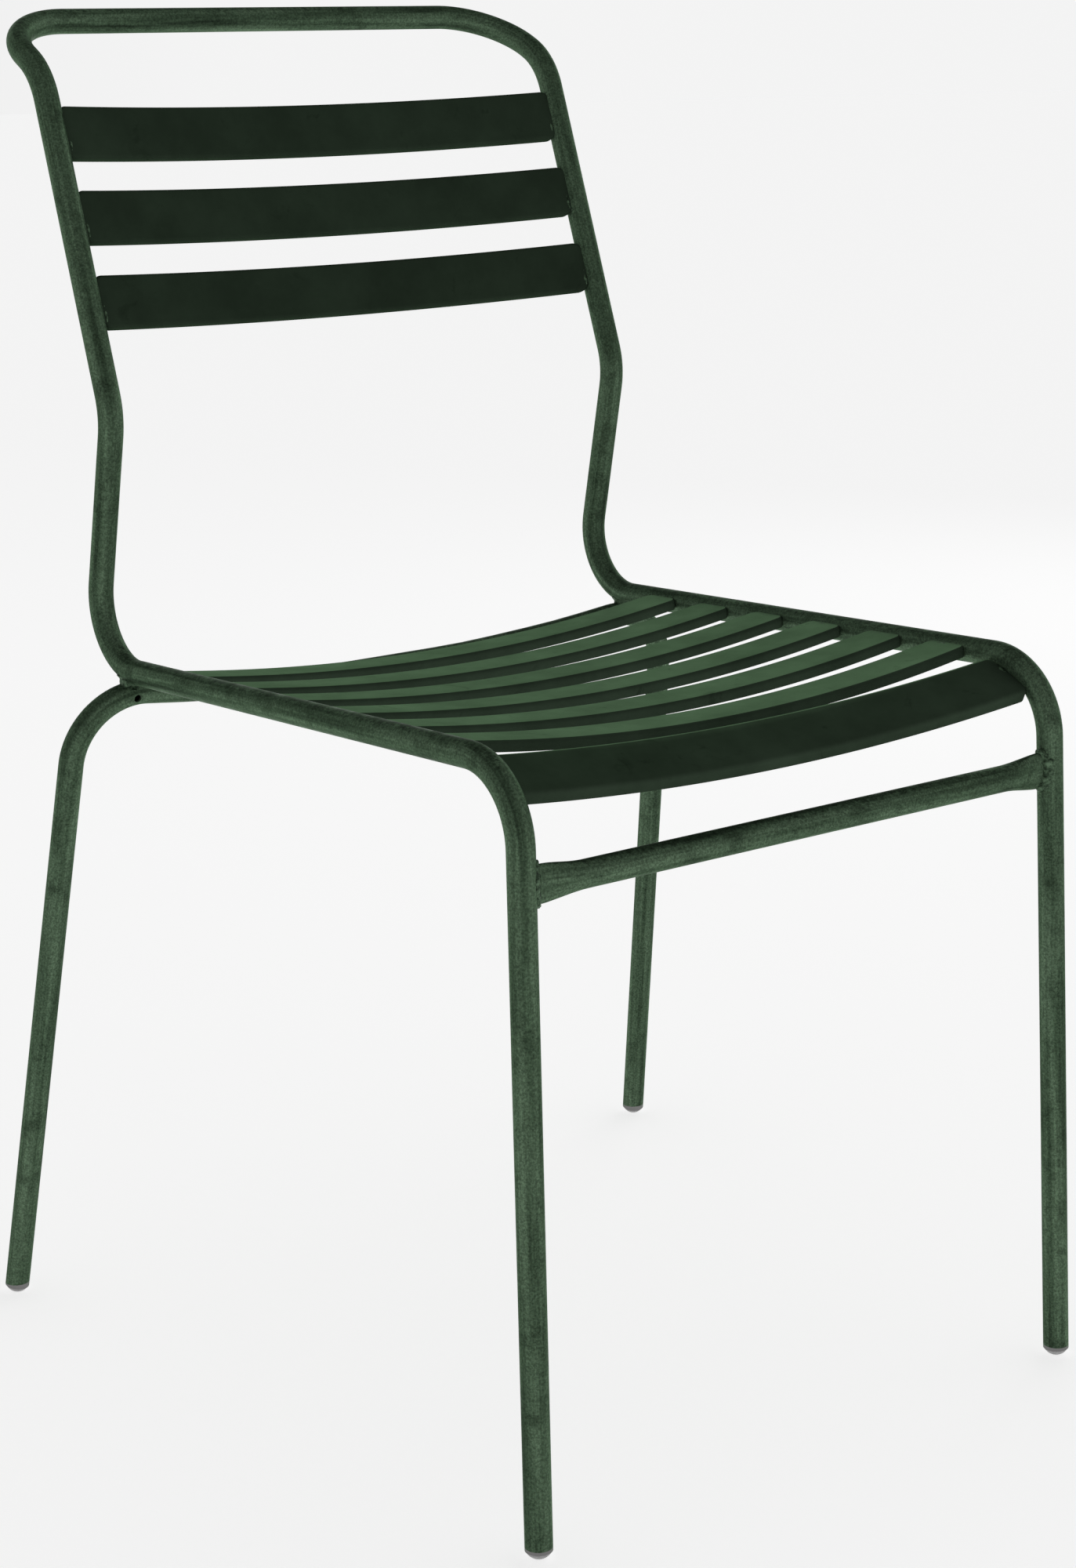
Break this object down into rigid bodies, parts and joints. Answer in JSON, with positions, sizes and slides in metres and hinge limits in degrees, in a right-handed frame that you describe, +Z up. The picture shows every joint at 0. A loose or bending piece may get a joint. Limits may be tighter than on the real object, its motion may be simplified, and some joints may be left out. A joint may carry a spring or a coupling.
{
  "type": "stacking chair",
  "caption": "Armless stacking chair: bent steel tube frame and rear legs, dished pressed-sheet seat and back slats, flattened front stretcher, domed foot glides.",
  "frame": {"origin": "on the floor, under the middle of the chair's bounding box", "axes": "+Z up, the sitter faces -Y, +X is to the right of someone looking at the chair's front from -Y, and X = 0 is the plane of symmetry"},
  "size_m": [0.5506, 0.5831, 0.8444],
  "materials": {
    "tube_paint": "semi-gloss green paint over galvanised steel, cloudy",
    "slat_paint": "semi-gloss green paint over sheet steel",
    "weld_paint": "painted over weld ripples",
    "glide_plastic": "moulded grey plastic, scuffed"
  },
  "bodies": {
    "root": {"frame_tube": "tube_paint", "rear_leg_tube": "tube_paint", "front_stretcher": "tube_paint", "seat_slat_1": "slat_paint", "seat_slat_2": "slat_paint", "seat_slat_3": "slat_paint", "seat_slat_4": "slat_paint", "seat_slat_5": "slat_paint", "seat_slat_6": "slat_paint", "front_slat": "slat_paint", "back_slat_bottom": "slat_paint", "back_slat_middle": "slat_paint", "back_slat_top": "slat_paint", "front_left_foot_glide": "glide_plastic", "rear_left_foot_glide": "glide_plastic", "front_right_foot_glide": "glide_plastic", "rear_right_foot_glide": "glide_plastic", "stretcher_left_weld": "weld_paint", "rear_leg_left_weld": "weld_paint", "stretcher_right_weld": "weld_paint", "rear_leg_right_weld": "weld_paint", "seat_slat_welds": "weld_paint", "back_slat_welds": "weld_paint", "front_slat_welds": "weld_paint"}
  },
  "joints": []
}
